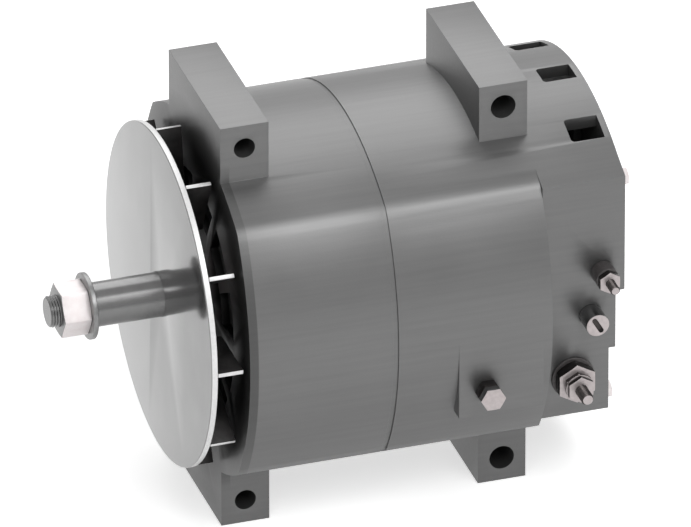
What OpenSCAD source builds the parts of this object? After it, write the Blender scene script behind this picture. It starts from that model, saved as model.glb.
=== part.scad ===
// Heavy-duty alternator, the kind that carries its fan and pulley on a bare shaft end.
// The shaft runs along X: the drive end is towards -X, the terminals are on the -Y side at the rear.
// The origin is on the shaft axis at the front face of the fan disc, where a pulley's hub seats.

/* [Housing] */
// Length of both frames together, from the fan end's face to the rear plane
housing_len = 197; // [192:0.5:210]
// Distance from the shaft axis to the middle of each of the four sides
side_half = 88.3; // [87:0.1:92]
// How much longer the radius of the four bulged sides is than their distance from the shaft axis
bulge_extra = 34.2; // [32:0.1:44]
// Wall of the shell around the front and rear chambers
shell_wall = 6; // [5:0.5:7]
// Length of the front frame, up to its joint with the rear frame
front_len = 75.9; // [74:0.1:80]
// Depth of the relief band around the front frame, in front of the joint
relief_depth = 0.5; // [0.3:0.1:1]
// Width of the relief band in front of the joint
relief_w = 2.8; // [1.5:0.1:5]
// Thickness of the front frame's end wall
front_wall = 9; // [7:0.5:11]
// Thickness of the rear frame's end wall
rear_wall = 3.2; // [3:0.1:5]

/* [Mounting lugs] */
// Length of each lug bar across the housing
lug_w = 82.7; // [76:0.1:88]
// Thickness of each lug bar along the shaft
lug_t = 24.6; // [22:0.1:26]
// How far the lugs stand out past the sides
lug_rise = 23.2; // [21:0.1:28]
// Distance from a lug's flat end to the middle of its bore
lug_edge = 12.6; // [10.5:0.1:14]
// Distance between the front and rear lug bores
lug_pitch = 132; // [128:0.5:134]
// Diameter of the bores through the front lugs
front_bore_d = 10.7; // [8:0.1:12]
// Diameter of the bores through the rear lugs
rear_bore_d = 12.7; // [10:0.1:13.5]

/* [Rear windows] */
// Width of an air window
window_w = 13.5; // [10:0.5:15]
// Length of an air window along the shaft
window_len = 17.1; // [14:0.1:22]
// Distance from the outer air windows' centres to the through bolts
window_to_bolt = 18; // [17:0.5:22]
// Radius of an air window's two front corners
window_corner = 2; // [1:0.5:4]

/* [Front wall] */
// Number of air windows around the front hub
front_windows = 12; // [8:1:14]
// Width of the ribs between the front air windows
front_rib = 7; // [6:0.5:9]
// Inner radius of the ring of front air windows
front_window_in = 44; // [43.5:0.5:46]
// Outer radius of the ring of front air windows
front_window_out = 62; // [56:0.5:66]
// Radius of the hub that holds the front bearing
front_hub_r = 41; // [40:0.5:43]
// Thickness of the lip in front of the front bearing
lip_t = 4; // [3:0.5:6]

/* [Terminal side] */
// How far the terminal flat lies in from the middle of its side
flat_in = 16.8; // [15.5:0.1:17.5]
// Length of the terminal flat along the shaft, up to the rear plane
flat_len = 42.4; // [40:0.1:46]
// Distance from the level of the top side down to the flat's upper edge
flat_top_down = 21; // [20.3:0.1:21.8]
// Wall behind the terminal flat
flat_wall = 4; // [3.5:0.1:4.5]
// How far the middle step of the rear edge lies in from the rear plane
middle_step = 4.5; // [3:0.1:5]
// How far the lower step of the rear edge lies in from the rear plane
lower_step = 7.9; // [6:0.1:8.5]
// Height of the top of the middle step
middle_step_z = 3.7; // [2:0.1:5]
// Height of the top of the lower step
lower_step_z = -28; // [-30:0.5:-25]
// Depth of both steps, inwards from the terminal flat
step_depth = 25; // [21:0.5:25]
// Slope of the flat cut across the lower corner behind the lugs, on the terminal side
corner_slope = 28; // [26:1:32]
// Distance from the joint to the ground pad
pad_from_joint = 30.8; // [28:0.1:32]
// Length of the ground pad along the shaft
pad_len = 43.3; // [40:0.1:44]
// Height of the ground pad, down from the level of the shaft axis
pad_h = 44; // [40:0.5:48]

/* [Fan] */
// Radius of the fan disc
fan_r = 85.9; // [80:0.1:88]
// Thickness of the fan disc
fan_t = 3.4; // [2.5:0.1:4]
// Number of blades
blade_count = 11; // [9:1:13]
// Length of the blades along the shaft
blade_len = 12.7; // [10:0.1:15]
// Thickness of a blade
blade_t = 2.2; // [1.5:0.1:3]
// Distance from the shaft axis to the inner end of a blade
blade_in = 50; // [44:0.5:56]
// Running gap between the blades and the housing
fan_gap = 2.7; // [2:0.1:4]

/* [Shaft] */
// Diameter of the bare shaft that carries a pulley
nose_d = 22.225; // [21:0.005:23]
// Length of the bare shaft, from the fan disc to the thread's shoulder
nose_len = 35.4; // [30:0.1:40]
// Diameter of the thread
thread_d = 15.875; // [14:0.005:17]
// Length of thread that stands out past the nut
thread_proud = 5.1; // [3:0.1:8]
// Width across the flats of the shaft nut
shaft_nut_af = 23.8; // [22:0.1:26]
// Height of the shaft nut
shaft_nut_h = 13.9; // [12:0.1:15]
// Diameter of the shaft washer
shaft_washer_d = 33.3; // [30:0.1:36]
// Thickness of the shaft washer
shaft_washer_t = 2.5; // [2:0.1:3.5]
// Outer diameter of the fan spacer
spacer_d = 32; // [30:0.5:34]
// Diameter of the shaft between the front bearing and the poles
shoulder_d = 34; // [32:0.5:36]
// Wall of a pole's core around the shaft
pole_core_wall = 10; // [8:0.5:11]
// Diameter of the shaft under the slip rings
ring_seat_d = 22; // [20:0.5:24]

/* [Bearings] */
// Bore of the front bearing
front_brg_bore = 25; // [24:0.5:26]
// Outer diameter of the front bearing
front_brg_od = 62; // [61:0.5:63]
// Width of the front bearing
front_brg_w = 17; // [16:0.5:18]
// Diameter of a front ball
front_ball_d = 11.5; // [10.5:0.1:12]
// Number of front balls
front_balls_n = 7; // [6:1:8]
// Bore of the rear bearing
rear_brg_bore = 17; // [16:0.5:18]
// Outer diameter of the rear bearing
rear_brg_od = 40; // [39:0.5:41]
// Width of the rear bearing
rear_brg_w = 12; // [11:0.5:13]
// Diameter of a rear ball
rear_ball_d = 6.7; // [6:0.1:7]
// Number of rear balls
rear_balls_n = 8; // [6:1:9]
// Radius of the hub that holds the rear bearing
rear_hub_r = 28; // [26:0.5:30]

/* [Stator] */
// Wall of the housing over the laminated core, at the middle of a side
core_wall = 9.3; // [8.8:0.1:10.3]
// Thickness of the core behind its slots
core_back = 6.6; // [5.5:0.1:7]
// Length of the core
core_len = 48; // [42:1:52]
// Number of slots
slot_count = 36; // [24:12:36]
// Width of a slot
slot_w = 5.4; // [4.5:0.1:6]
// Width of a slot's mouth
slot_mouth = 2.6; // [2:0.1:3]
// Depth of a slot, from the mouth's lip to its floor
slot_depth = 11.4; // [9:0.1:12]
// Thickness of the lip at a slot's mouth
slot_lip = 2; // [1.5:0.1:2.5]
// How far the winding's ends stand out of the core
end_turn = 13; // [10:0.5:14]
// Width of the ledge that stops the core in each frame
ledge = 3; // [2:0.1:3.5]

/* [Rotor] */
// Length of the rotor over both poles
rotor_len = 64; // [60:1:68]
// Air gap between the rotor and the stator
air_gap = 0.8; // [0.6:0.1:1]
// Number of fingers on each pole
finger_count = 6; // [6:1:6]
// Thickness of a pole's disc
pole_t = 13; // [11:0.5:14]
// Half of a finger's width at its root
finger_root = 14.5; // [13:0.5:15]
// Half of a finger's width at its tip
finger_tip = 7; // [6:0.5:7.5]
// Thickness of a finger at its tip
finger_tip_t = 4; // [3:0.5:5]
// Depth of the gaps between the fingers, down to a pole's disc
finger_gap_depth = 13.2; // [12:0.1:14]
// Depth of the coil's space, from a pole's disc down to its core
coil_depth = 20; // [18:0.5:21]
// Wall of the coil's bobbin
bobbin_wall = 1.5; // [1.2:0.1:2]

/* [Slip rings and brushes] */
// Radius of the slip rings
ring_r = 20; // [19:0.5:20.5]
// Width of a slip ring
ring_w = 8; // [7:0.5:9]
// Distance between the centres of the two rings
ring_pitch = 16; // [15:0.5:17]
// Distance from the rear pole to the middle of the first ring
ring_from_pole = 18.3; // [17:0.1:19]
// Thickness of the insulating sleeve under the rings
sleeve_t = 3.5; // [3:0.1:4]
// Width of a brush along the shaft
brush_w = 6.4; // [5:0.1:7]
// Width of a brush across the shaft
brush_t = 11; // [9:0.5:12]
// Length of a brush
brush_len = 19; // [16:0.5:20]
// Travel of a brush in its holder
brush_travel = 5; // [3:0.5:6]

/* [Terminals] */
// Distance from the rear plane to the output stud
output_in = 26.5; // [25:0.1:28]
// Height of the output stud above the lower through bolts
output_above_bolt = 20; // [18:0.1:21]
// Outer diameter of the output stud's thread
output_d = 6.35; // [6:0.05:8]
// Diameter at which the output stud's thread is gripped by its nuts
output_grip_d = 5.6; // [5:0.05:5.7]
// Width across the flats of the output stud's base nut
base_nut_af = 18.2; // [16:0.1:19]
// Height of the base nut
base_nut_h = 6.7; // [5:0.1:8]
// Width across the flats of the output stud's clamp nut
clamp_nut_af = 12.4; // [11:0.1:13]
// Height of the clamp nut
clamp_nut_h = 6.2; // [4:0.1:7]
// How far the output stud reaches past its base nut
output_reach = 16; // [13:0.5:20]
// Distance from the rear plane to the small stud
small_in = 11.6; // [11:0.1:13]
// Height of the small stud
small_z = 15.8; // [14.5:0.1:18]
// Outer diameter of the small stud's thread
small_d = 4.8; // [4.6:0.1:5]
// Diameter at which the small stud's thread is gripped by its nut
small_grip_d = 4.2; // [3.6:0.1:4.3]
// Height of the small stud's insulator
small_base_h = 9; // [6:0.5:10]
// Diameter of the small stud's insulator
small_base_d = 11.7; // [11:0.1:12]
// Width across the flats of the small stud's nut
small_nut_af = 10.1; // [9:0.1:11]
// Height of the small stud's nut
small_nut_h = 3.7; // [3:0.1:5]
// How far the small stud reaches past its nut
small_reach = 8; // [6:0.5:10]
// Distance from the rear plane to the slotted voltage adjuster
adjuster_in = 17.4; // [16.5:0.1:18]
// Height of the voltage adjuster
adjuster_z = -7.6; // [-9:0.1:-6.5]
// Diameter of the voltage adjuster
adjuster_d = 11.6; // [10:0.1:12]
// How far the voltage adjuster stands out of the flat
adjuster_h = 11.5; // [9:0.5:13]
// Length of the adjuster's stem behind the wall
stem_len = 8.5; // [6:0.5:12]
// Diameter of the adjuster's stem
stem_d = 5; // [4:0.1:6]

/* [Ground bolt] */
// Distance from the front edge of the pad to the ground bolt
ground_from_edge = 14.4; // [13:0.1:16]
// Depth of the ground bolt below the shaft axis
ground_z = 30.4; // [28:0.1:32]
// Width across the flats of the ground bolt and its nut
ground_af = 11.2; // [10:0.1:12]
// Height of the ground bolt's head
ground_head_h = 4; // [3:0.1:5]
// Height of the lock nut under the head
ground_nut_h = 6.2; // [4:0.1:7]
// Diameter of the ground bolt
ground_d = 6.3; // [5:0.1:7]
// Length of thread in the ground pad
ground_grip = 7; // [5:0.5:7.5]

/* [Through bolts] */
// How far the through bolts lie in from the middle of each side
bolt_in = 27.3; // [26.8:0.1:27.8]
// How much higher the lower bolt on the terminal side sits, clear of the cut corner
bolt_lift = 3.6; // [3:0.1:4]
// Diameter of a through bolt
bolt_d = 5; // [4:0.5:6]
// Width across the flats of a through bolt's head
bolt_af = 8; // [7.5:0.1:9]
// Height of a through bolt's head
bolt_head_h = 4; // [3:0.1:5]
// Radius of the columns that carry the through bolts
column_r = 8.5; // [7.5:0.5:9]
// Length of thread in the front frame
bolt_grip = 32; // [24:1:38]

/* [Rectifier] */
// Inner radius of the two heat sinks
sink_in = 34; // [32:0.5:36]
// Clearance between the heat sinks and the wall behind the terminal flat
sink_clear = 1.5; // [1:0.1:3]
// Thickness of a heat sink's plate
sink_t = 5; // [4:0.5:6]
// Height of the heat sinks' fins
fin_h = 4; // [3:0.5:5]
// Distance from the rear plane to the heat sinks
sink_from_rear = 43.8; // [43:0.1:45]
// Diameter of a diode's case
diode_d = 12.7; // [11:0.1:13]
// Height of a diode's case
diode_h = 12; // [10:0.5:14]
// Radius of the posts that carry the heat sinks
post_r = 5; // [4.5:0.1:6]
// Depth of the heat sinks' screws in their posts
sink_screw_grip = 12; // [9:0.5:14]
// Length of the output strap's leg along the heat sink
strap_leg = 24.5; // [23:0.5:26]
// Diameter of the capacitor's can
capacitor_d = 18; // [14:0.5:20]
// Length of the capacitor's can
capacitor_len = 24; // [18:0.5:30]
// Length of the regulator along the shaft
regulator_len = 21; // [16:0.5:24]
// Width of the regulator across the shaft
regulator_w = 24; // [18:0.5:25]
// Height of the regulator
regulator_h = 22; // [16:0.5:23]

/* [Hidden] */
$fn = 96;
root3 = sqrt(3);
// Clearance between pieces that are pressed or screwed together
fit = 0.02;
// Running clearance of turning and sliding pieces
run_gap = 0.08;
// Overshoot of a cut past the face that it opens
cut = 1;

blade_phase = 0.55;
// Depth at which the air windows end, inside the rear chamber
window_depth = 48.3;

bulge_r = side_half + bulge_extra;
core_r = side_half - core_wall;
core_bore_r = core_r - core_back - slot_depth - slot_lip;
bolt_at = side_half - bolt_in;
lug_reach = side_half + lug_rise;
lug_bore_z = lug_reach - lug_edge;
flat_y = side_half - flat_in;
flat_top = side_half - flat_top_down;
step_y = flat_y - step_depth;
// Depth below the shaft axis at which the bulged side meets the terminal flat
flat_bottom = sqrt(bulge_r * bulge_r - (flat_y + bulge_extra) * (flat_y + bulge_extra));
window_floor = side_half - window_depth;
window_pitch = bolt_at - window_to_bolt;
housing_x = fan_t + blade_len + fan_gap;
joint_x = housing_x + front_len;
rear_x = housing_x + housing_len;
rear_in_x = rear_x - rear_wall;
front_lug_x = housing_x + lug_t / 2;
rear_lug_x = front_lug_x + lug_pitch;
flat_x = rear_x - flat_len;
pad_x = joint_x + pad_from_joint;
big = 300;

front_brg_x = housing_x + lip_t;
front_brg_end = front_brg_x + front_brg_w;
retainer_t = 3;
retainer_grip = 10;
screw_r = 2.5;
small_screw_r = 2;
screw_tip_gap = 2;
screw_head_r = 4.3;
screw_head_h = 3.3;

core_x = joint_x - core_len / 2;
core_end = joint_x + core_len / 2;
bundle_in = core_bore_r + slot_lip;
bundle_out = core_r - ledge - 1.5;

pole_r = core_bore_r - air_gap;
pole_disc_r = pole_r - finger_gap_depth;
pole_core_r = pole_disc_r - coil_depth;
pole_seat_d = 2 * (pole_core_r - pole_core_wall);
pole_x = joint_x - rotor_len / 2;
pole_end = joint_x + rotor_len / 2;
finger_end_gap = 3;
coil_gap = 2;

ring1_x = pole_end + ring_from_pole;
ring2_x = ring1_x + ring_pitch;
ring_body_r = ring_seat_d / 2 + sleeve_t;
brush_gap = 0.3;
holder_wall = 3;
spring_len = 11;
spring_wire = 0.9;
spring_turns = 5;
holder_in_z = ring_r + 4;
brush_back_z = ring_r + brush_gap + brush_len - 1;
holder_out_z = brush_back_z + spring_len + holder_wall;
holder_half_y = brush_t / 2 + holder_wall;
holder_x = ring1_x - brush_w / 2 - holder_wall;
holder_end = ring2_x + brush_w / 2 + holder_wall;
holder_arm_t = 14;
foot_pad_t = 4;
foot_t = 5;
foot_end_z = holder_out_z + 11.7;
foot_x = rear_in_x - foot_pad_t - foot_t;
foot_half_y = 14;
foot_screw_y = 9;
foot_screw_up = foot_end_z - 6;

cap_t = 3.5;
cap_seat = 4;
cap_r = rear_brg_od / 2 + 1.5;
rear_shoulder = 8;
rear_brg_end = rear_x - cap_seat - rear_shoulder;
rear_brg_x = rear_brg_end - rear_brg_w;
shaft_end = rear_brg_end + 1.5;

inner_y = flat_y - flat_wall;
sink_out = inner_y - sink_clear;
diode_circle = (sink_in + sink_out) / 2;
diode_pin_r = 0.9;
diode_pin_len = 7;
sink_x = rear_x - sink_from_rear;
sink_end = sink_x + sink_t;
insulator_t = 1.5;
post_angles = [-30, 30];
diode_angles = [-55, 0, 55];
sink_from = 25;
strap_t = 2;
strap_w = 12;
strap_screw_in = 5;
flange_t = 2;
strap_y = inner_y - flange_t;
strap_screw_y = strap_y - strap_leg + strap_screw_in;
output_flange_t = 1.2;
output_sleeve_t = 2.5;
output_flange_r = 7.5;
small_sleeve_t = 1.6;
small_flange_r = 6;
stud_head_h = 4;
stud_head_r = 5.5;
small_head_h = 2.5;
small_head_r = 4.4;
// Length of gripped thread that shows past a nut
grip_past = 0.3;
output_z = output_above_bolt - bolt_at;
output_x = rear_x - output_in;
capacitor_pin = 4;
small_x = rear_x - small_in;
adjuster_x = rear_x - adjuster_in;
slot_angle = -60;
ground_x = pad_x + ground_from_edge;

cast_grey = "#8c8c8c";
steel = "#b8b4b3";
dark_steel = "#4a4746";
pressed_steel = "#b4b4b4";
copper = "#a8673c";
insulating = "#2c2a2a";
iron = "#5c5a58";

// Turns a shape drawn upright into one that runs along the shaft from station x
module along_shaft(x) translate([x, 0, 0]) rotate([90, 0, 90]) children();

// Turns a shape drawn upright into one that stands out of the terminal side at distance y
module out_of_side(x, y, z) translate([x, -y, z]) rotate([90, 0, 0]) children();

// Cylinder along the shaft between two stations
module rod(x0, x1, r) along_shaft(x0) cylinder(h = x1 - x0, r = r);

// Ring along the shaft between two stations
module ring(x0, x1, r_in, r_out) along_shaft(x0) difference() {
    cylinder(h = x1 - x0, r = r_out);
    translate([0, 0, -cut]) cylinder(h = x1 - x0 + 2 * cut, r = r_in);
}

// Hexagon prism with both ends chamfered to a circle, standing on its base
module hex_body(af, h, turn) {
    corner = af / root3;
    chamfer = (corner - af * 0.48) * 0.6;
    intersection() {
        rotate([0, 0, turn]) cylinder(h = h, r = corner, $fn = 6);
        rotate_extrude() polygon([
            [0, 0], [af * 0.48, 0], [corner + fit, chamfer],
            [corner + fit, h - chamfer], [af * 0.48, h], [0, h]
        ]);
    }
}

// Hexagon nut, standing on its base, with a hole that just clears its thread
module hex_nut(af, h, thread, turn) difference() {
    hex_body(af, h, turn);
    translate([0, 0, -cut]) cylinder(h = h + 2 * cut, r = thread / 2 + fit);
}

// The four places of the through bolts, across the shaft
module bolt_places() for (y = [-bolt_at, bolt_at], z = [-bolt_at, bolt_at])
    translate([y, z + (y < 0 && z < 0 ? bolt_lift : 0)]) children();

// Outline of the housing across the shaft: four bulged sides that meet in crisp corners
module bulged_outline(inset) {
    r = bulge_r - inset;
    intersection() {
        translate([side_half - bulge_r, 0]) circle(r, $fn = 240);
        translate([bulge_r - side_half, 0]) circle(r, $fn = 240);
        translate([0, side_half - bulge_r]) circle(r, $fn = 240);
        translate([0, bulge_r - side_half]) circle(r, $fn = 240);
    }
}

// Outline of the chamber inside the shell, with a column left at each through bolt
module chamber_outline() difference() {
    bulged_outline(shell_wall);
    bolt_places() circle(column_r);
}

// Pair of lug bars cast across the top and the underside, with their bores
module lug_bars(x) translate([x - lug_t / 2, -lug_w / 2, 0]) {
    root = side_half * 0.7;
    translate([0, 0, root]) cube([lug_t, lug_w, lug_reach - root]);
    translate([0, 0, -lug_reach]) cube([lug_t, lug_w, lug_reach - root]);
}

module lug_bores(x, d) for (z = [-lug_bore_z, lug_bore_z])
    out_of_side(x, -lug_w / 2 - cut, z) cylinder(h = lug_w + 2 * cut, r = d / 2);

// Ring of air windows around the front hub, divided by straight ribs
module front_air_windows() along_shaft(housing_x - cut) linear_extrude(front_wall + 2 * cut) difference() {
    circle(front_window_out);
    circle(front_window_in);
    for (i = [0 : front_windows - 1]) rotate(i * 360 / front_windows)
        translate([0, -front_rib / 2]) square([front_window_out + cut, front_rib]);
}

module front_frame() color(cast_grey) difference() {
    union() {
        difference() {
            union() {
                along_shaft(housing_x) linear_extrude(front_len - relief_w) bulged_outline(0);
                along_shaft(joint_x - relief_w) linear_extrude(relief_w) bulged_outline(relief_depth);
                lug_bars(front_lug_x);
            }
            along_shaft(housing_x + front_wall)
                linear_extrude(core_x - ledge - housing_x - front_wall) chamber_outline();
        }
        rod(housing_x, front_brg_end, front_hub_r);
    }
    front_air_windows();
    lug_bores(front_lug_x, front_bore_d);
    rod(housing_x - cut, joint_x, front_brg_od / 2 - 6);
    rod(front_brg_x, joint_x, front_brg_od / 2 + fit);
    rod(front_brg_end, joint_x, core_r - ledge);
    rod(core_x, joint_x + cut, core_r + fit);
    along_shaft(joint_x - bolt_grip) linear_extrude(bolt_grip + cut) bolt_places() circle(bolt_d / 2 + fit);
    retainer_screw_places() rod(front_brg_end - retainer_grip - screw_tip_gap, front_brg_end + cut, screw_r + fit);
}

// One air window, cut down through the shell from outside; the two front corners are rounded
module air_window() translate([rear_x - rear_wall - window_len, -window_w / 2, 0]) linear_extrude(big) difference() {
    square([window_len, window_w]);
    for (side = [0, 1]) mirror([0, side, 0]) translate([0, -side * window_w, 0]) difference() {
        translate([-cut, -cut]) square([window_corner + cut, window_corner + cut]);
        translate([window_corner, window_corner]) circle(window_corner);
    }
}

module rear_air_windows() for (side = [-1, 0, 1]) for (turn = [0, -90, 180])
    rotate([turn, 0, 0]) translate([0, side * window_pitch, window_floor]) air_window();

module rear_chamber() difference() {
    along_shaft(core_end + ledge) linear_extrude(rear_in_x - core_end - ledge) chamber_outline();
    translate([flat_x - flat_wall, -big, -big]) cube([big, big - flat_y + flat_wall, 2 * big]);
    translate([rear_in_x - middle_step, -big, lower_step_z - rear_wall])
        cube([big, big - step_y + rear_wall, middle_step_z - lower_step_z + 2 * rear_wall]);
    translate([rear_in_x - lower_step, -big, -big])
        cube([big, big - step_y + rear_wall, big + lower_step_z + rear_wall]);
    below_corner(flat_x - flat_wall, flat_wall);
}

// Fills the upper corner out to the terminal flat, up to the bulged top
module corner_fill() along_shaft(flat_x) linear_extrude(flat_len)
    polygon([[-flat_y - 0.5, flat_top - 17.3], [-flat_y - 0.5, flat_top - 0.3],
        [12.5 - flat_y, flat_top + 5.8], [12.5 - flat_y, flat_top - 17.3]]);

// The flat and the two steps that are cut out of the rear corner on the terminal side
module terminal_cuts() {
    translate([flat_x, -big, -big]) cube([big, big - flat_y, 2 * big]);
    translate([rear_x - middle_step, -big, lower_step_z]) cube([big, big - step_y, middle_step_z - lower_step_z]);
    translate([rear_x - lower_step, -big, -big]) cube([big, big - step_y, big + lower_step_z]);
}

// Everything below the flat cut across the lower corner, from station x on and at a height above that cut
module below_corner(x, above) translate([x, -flat_y, -flat_bottom]) rotate([-corner_slope, 0, 0])
    translate([0, -big, -big]) cube([big, 2 * big, big + above]);

// Places around the shaft on the circle of diodes: side 1 is the far side, side -1 the terminal side
module on_circle(side, turn) rotate([side > 0 ? turn : 180 + turn, 0, 0]) translate([0, diode_circle, 0]) children();

// Posts on the rear wall that carry the heat sinks; the terminal side's pair is shorter by its insulators
module sink_posts() for (turn = post_angles) {
    on_circle(1, turn) rod(sink_end, rear_in_x + cut, post_r);
    on_circle(-1, turn) rod(sink_end + insulator_t, rear_in_x + cut, post_r);
}

module rear_frame() color(cast_grey) difference() {
    union() {
        difference() {
            union() {
                difference() {
                    along_shaft(joint_x) linear_extrude(housing_len - front_len) bulged_outline(0);
                    below_corner(flat_x, 0);
                }
                lug_bars(rear_lug_x);
                corner_fill();
                translate([pad_x, -side_half, -pad_h]) cube([pad_len, side_half / 2, pad_h]);
            }
            rear_chamber();
            rear_air_windows();
        }
        rod(rear_brg_x - 1, rear_x - cap_seat, rear_hub_r);
        sink_posts();
        translate([rear_in_x - foot_pad_t, -foot_half_y, rear_hub_r - cut])
            cube([foot_pad_t + cut, 2 * foot_half_y, foot_end_z - rear_hub_r + cut]);
    }
    terminal_cuts();
    rod(joint_x - cut, core_end, core_r + fit);
    rod(core_end - cut, core_end + ledge + cut, core_r - ledge);
    lug_bores(rear_lug_x, rear_bore_d);
    rod(rear_brg_x - 2, rear_brg_end, rear_brg_od / 2 + fit);
    rod(rear_brg_end - cut, rear_x + cut, rear_brg_od / 2 - 4);
    rod(rear_x - cap_seat, rear_x + cut, cap_r + fit);
    along_shaft(joint_x - cut) linear_extrude(housing_len) bolt_places() circle(bolt_d / 2 + fit);
    post_places() rod(sink_end - cut, sink_end + sink_screw_grip + screw_tip_gap, screw_r + fit);
    foot_screw_places() rod(rear_in_x - foot_pad_t - cut, rear_in_x + 1, small_screw_r + fit);
    out_of_side(output_x, flat_y - flat_wall - cut, output_z) cylinder(h = flat_wall + 2 * cut, r = output_d / 2 + output_sleeve_t);
    out_of_side(small_x, flat_y - flat_wall - cut, small_z) cylinder(h = flat_wall + 2 * cut, r = small_d / 2 + small_sleeve_t);
    out_of_side(adjuster_x, flat_y - flat_wall - cut, adjuster_z)
        cylinder(h = flat_wall + 2 * cut, r = adjuster_d / 2 + run_gap);
    out_of_side(ground_x, side_half - ground_grip - 1, -ground_z) cylinder(h = ground_grip + 1 + cut, r = ground_d / 2 + fit);
}

// A through bolt's head sits on the rear plane, or on the lower step at the terminal side
module through_bolts() color(steel) bolt_heads_and_shanks();

module bolt_heads_and_shanks() for (y = [-bolt_at, bolt_at], z = [-bolt_at, bolt_at]) {
    low = y < 0 && z < 0;
    seat = low ? rear_x - lower_step : rear_x;
    translate([0, y, z + (low ? bolt_lift : 0)]) {
        along_shaft(seat) hex_body(bolt_af, bolt_head_h, 30);
        rod(joint_x - bolt_grip + 2, seat, bolt_d / 2);
    }
}

module rear_cap() color(pressed_steel) rod(rear_x - cap_seat, rear_x - cap_seat + cap_t, cap_r);

module stator_core() color(iron) along_shaft(core_x) linear_extrude(core_len) difference() {
    circle(core_r);
    circle(core_bore_r);
    for (i = [0 : slot_count - 1]) rotate((i + 0.5) * 360 / slot_count) {
        translate([core_bore_r - cut, -slot_mouth / 2]) square([slot_lip + 2 * cut, slot_mouth]);
        translate([bundle_in, -slot_w / 2]) square([slot_depth, slot_w]);
    }
}

// Copper in the slots, joined by the bundle of end turns at each end of the core
module stator_winding() color(copper) {
    liner = 0.3;
    along_shaft(core_x - end_turn / 2) linear_extrude(core_len + end_turn)
        for (i = [0 : slot_count - 1]) rotate((i + 0.5) * 360 / slot_count)
            translate([bundle_in + liner, liner - slot_w / 2]) square([slot_depth - 2 * liner, slot_w - 2 * liner]);
    end_bundle(core_x - end_turn);
    end_bundle(core_end);
}

module end_bundle(x) {
    c = 3;
    along_shaft(x) rotate_extrude() polygon([
        [bundle_in + c, 0], [bundle_out - c, 0], [bundle_out, c], [bundle_out, end_turn - c],
        [bundle_out - c, end_turn], [bundle_in + c, end_turn], [bundle_in, end_turn - c], [bundle_in, c]
    ]);
}

// Six leads run from the end turns to the eyes on the diodes' pins
module phase_leads() color(copper) for (turn = diode_angles, side = [-1, 1]) on_circle(side, turn) {
    out = bundle_out - 6 - diode_circle;
    eye_x = sink_end - diode_h - diode_pin_len + 2;
    translate([0, out, 0]) rod(core_end + end_turn, eye_x + 1.5, 1.4);
    difference() {
        union() {
            rod(eye_x, eye_x + 1.5, 3);
            translate([eye_x, 0, -1.4]) cube([1.5, out, 2.8]);
        }
        rod(eye_x - cut, eye_x + 3, diode_pin_r + fit);
    }
}

// One race of a ball bearing: a ring with a groove for the balls
module race(x, w, r_in, r_out, pitch_r, ball_d) along_shaft(x) rotate_extrude() difference() {
    translate([r_in, 0]) square([r_out - r_in, w]);
    translate([pitch_r, w / 2]) circle(ball_d / 2 + run_gap);
}

module balls(x, w, pitch_r, ball_d, n) translate([x + w / 2, 0, 0])
    for (i = [0 : n - 1]) rotate([i * 360 / n, 0, 0]) translate([0, pitch_r, 0]) sphere(r = ball_d / 2);

// Ring with a pocket round each ball
module cage(x, w, pitch_r, ball_d, n, thick) translate([x + w / 2, 0, 0]) difference() {
    half = ball_d / 2 + 1.2;
    ring(-half, half, pitch_r - thick / 2, pitch_r + thick / 2);
    for (i = [0 : n - 1]) rotate([i * 360 / n, 0, 0]) translate([0, pitch_r - thick, 0])
        rotate([-90, 0, 0]) cylinder(h = 2 * thick, r = ball_d / 2 + 0.1);
}

front_pitch_r = (front_brg_bore + front_brg_od) / 4;
rear_pitch_r = (rear_brg_bore + rear_brg_od) / 4;
front_land = 2.9;
rear_land = 1.9;
shield_t = 0.8;

module front_outer_race() color(steel)
    race(front_brg_x, front_brg_w, front_pitch_r + front_land, front_brg_od / 2, front_pitch_r, front_ball_d);
module front_inner_race() color(steel)
    race(front_brg_x, front_brg_w, front_brg_bore / 2, front_pitch_r - front_land, front_pitch_r, front_ball_d);
module rear_outer_race() color(steel)
    race(rear_brg_x, rear_brg_w, rear_pitch_r + rear_land, rear_brg_od / 2, rear_pitch_r, rear_ball_d);
module rear_inner_race() color(steel)
    race(rear_brg_x, rear_brg_w, rear_brg_bore / 2, rear_pitch_r - rear_land, rear_pitch_r, rear_ball_d);

// Pair of shields held by the outer race, just clear of the inner one
module shields(x, w, pitch_r, land) for (at = [x, x + w - shield_t])
    ring(at, at + shield_t, pitch_r - land + 0.4, pitch_r + land - fit);

module front_shields() color(steel) shields(front_brg_x, front_brg_w, front_pitch_r, front_land);
module rear_shields() color(steel) shields(rear_brg_x, rear_brg_w, rear_pitch_r, rear_land);
module front_balls() color(steel) balls(front_brg_x, front_brg_w, front_pitch_r, front_ball_d, front_balls_n);
module rear_balls() color(steel) balls(rear_brg_x, rear_brg_w, rear_pitch_r, rear_ball_d, rear_balls_n);
module front_cage() color("#a08040") cage(front_brg_x, front_brg_w, front_pitch_r, front_ball_d, front_balls_n, 3.6);
module rear_cage() color("#a08040") cage(rear_brg_x, rear_brg_w, rear_pitch_r, rear_ball_d, rear_balls_n, 2.4);

module retainer_screw_places() for (turn = [45 : 90 : 315])
    rotate([turn, 0, 0]) translate([0, (front_brg_od / 2 + front_hub_r) / 2, 0]) children();

module bearing_retainer() color(steel) difference() {
    ring(front_brg_end, front_brg_end + retainer_t, front_brg_od / 2 - 4, front_hub_r - 0.5);
    retainer_screw_places() rod(front_brg_end - cut, front_brg_end + retainer_t + cut, screw_r + fit);
}

// Pan-head screw along the shaft: the head's seat is at x and the shank runs the way of dir
module pan_screw(x, dir, len, r) {
    head = x - dir * screw_head_h;
    rod(min(x, head), max(x, head), screw_head_r);
    rod(min(x, x + dir * len), max(x, x + dir * len), r);
}

module retainer_screws() color(steel) retainer_screw_places()
    pan_screw(front_brg_end + retainer_t, -1, retainer_t + retainer_grip, screw_r);

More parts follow.
